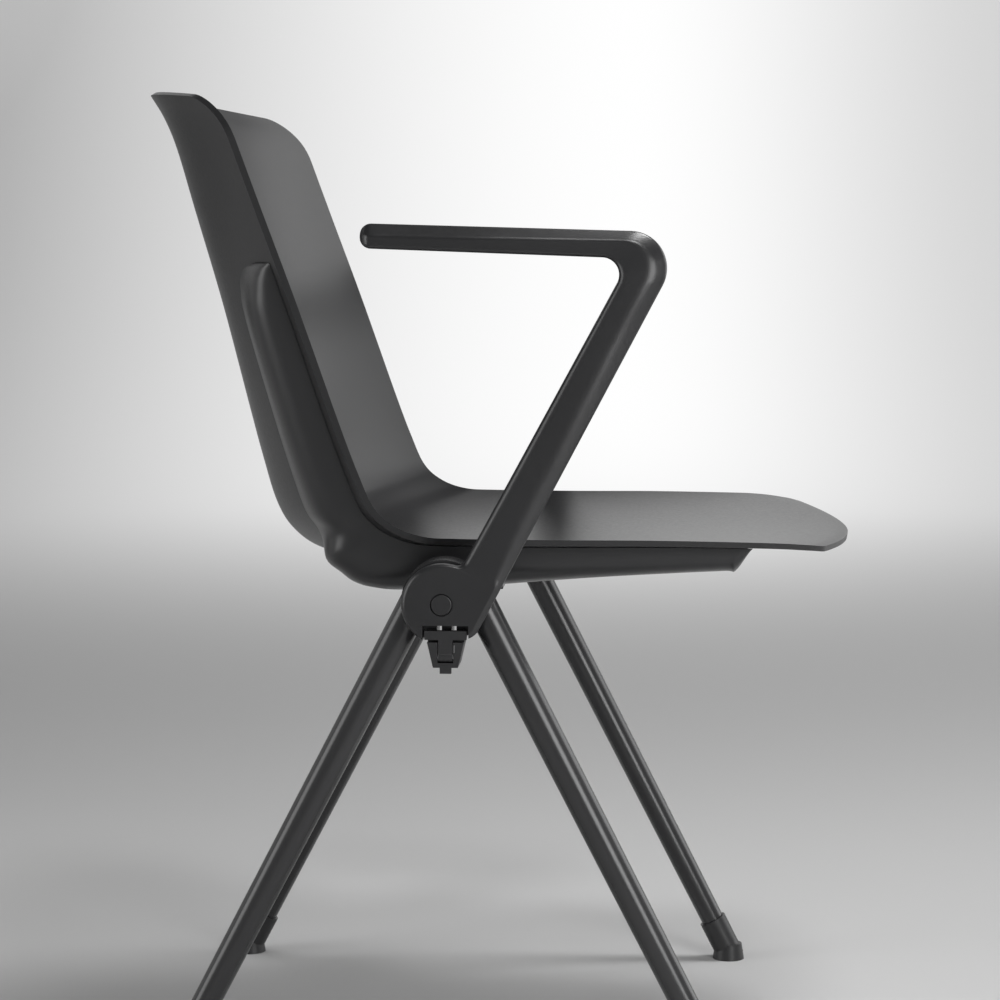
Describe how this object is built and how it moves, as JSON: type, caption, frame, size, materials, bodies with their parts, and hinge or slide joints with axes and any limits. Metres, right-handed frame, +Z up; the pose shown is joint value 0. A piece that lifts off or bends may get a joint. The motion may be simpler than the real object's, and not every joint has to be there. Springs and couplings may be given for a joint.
{
  "type": "stacking armchair",
  "caption": "Nesting armchair: one curved seat and back shell on a carrier tray with wings, A-shaped tube leg frames, swept arms with flat pads and a fold-out row link hook.",
  "frame": {"origin": "on the floor, under the middle of the chair's bounding box", "axes": "+X points to the chair's front, +Y to the sitter's left, +Z up"},
  "size_m": [0.5918, 0.5862, 0.812],
  "materials": {
    "shell_plastic": "fine moulded grain, satin",
    "arm_plastic": "fine moulded grain, satin",
    "frame_coat": "satin powder coat",
    "nylon": "matt moulded nylon",
    "steel": "bright zinc plate"
  },
  "bodies": {
    "chair": {"seat_shell": "shell_plastic", "carrier_tray": "shell_plastic", "threaded_sleeves": "steel", "plate_screws": "steel", "tray_screws": "steel", "cross_tube": "frame_coat", "mount_plate_right": "frame_coat", "mount_plate_left": "frame_coat", "knuckle_right": "frame_coat", "knuckle_left": "frame_coat", "front_leg_right": "frame_coat", "front_leg_left": "frame_coat", "rear_leg_right": "frame_coat", "rear_leg_left": "frame_coat", "front_glide_right": "nylon", "front_glide_left": "nylon", "rear_glide_right": "nylon", "rear_glide_left": "nylon", "arm_right": "arm_plastic", "arm_left": "arm_plastic", "arm_bolt_right": "steel", "arm_bolt_left": "steel", "bolt_cap_right": "arm_plastic", "bolt_cap_left": "arm_plastic", "link_housing_right": "nylon", "link_catch_left": "nylon", "link_screws": "steel", "link_pin": "steel"},
    "hook": {"link_hook": "nylon"}
  },
  "joints": [
    {"name": "hook_fold", "type": "hinge", "parent": "chair", "child": "hook", "pos_m": [-0.024, -0.2885, 0.3715], "axis": [1, 0, 0], "range_deg": [0, 90]}
  ]
}
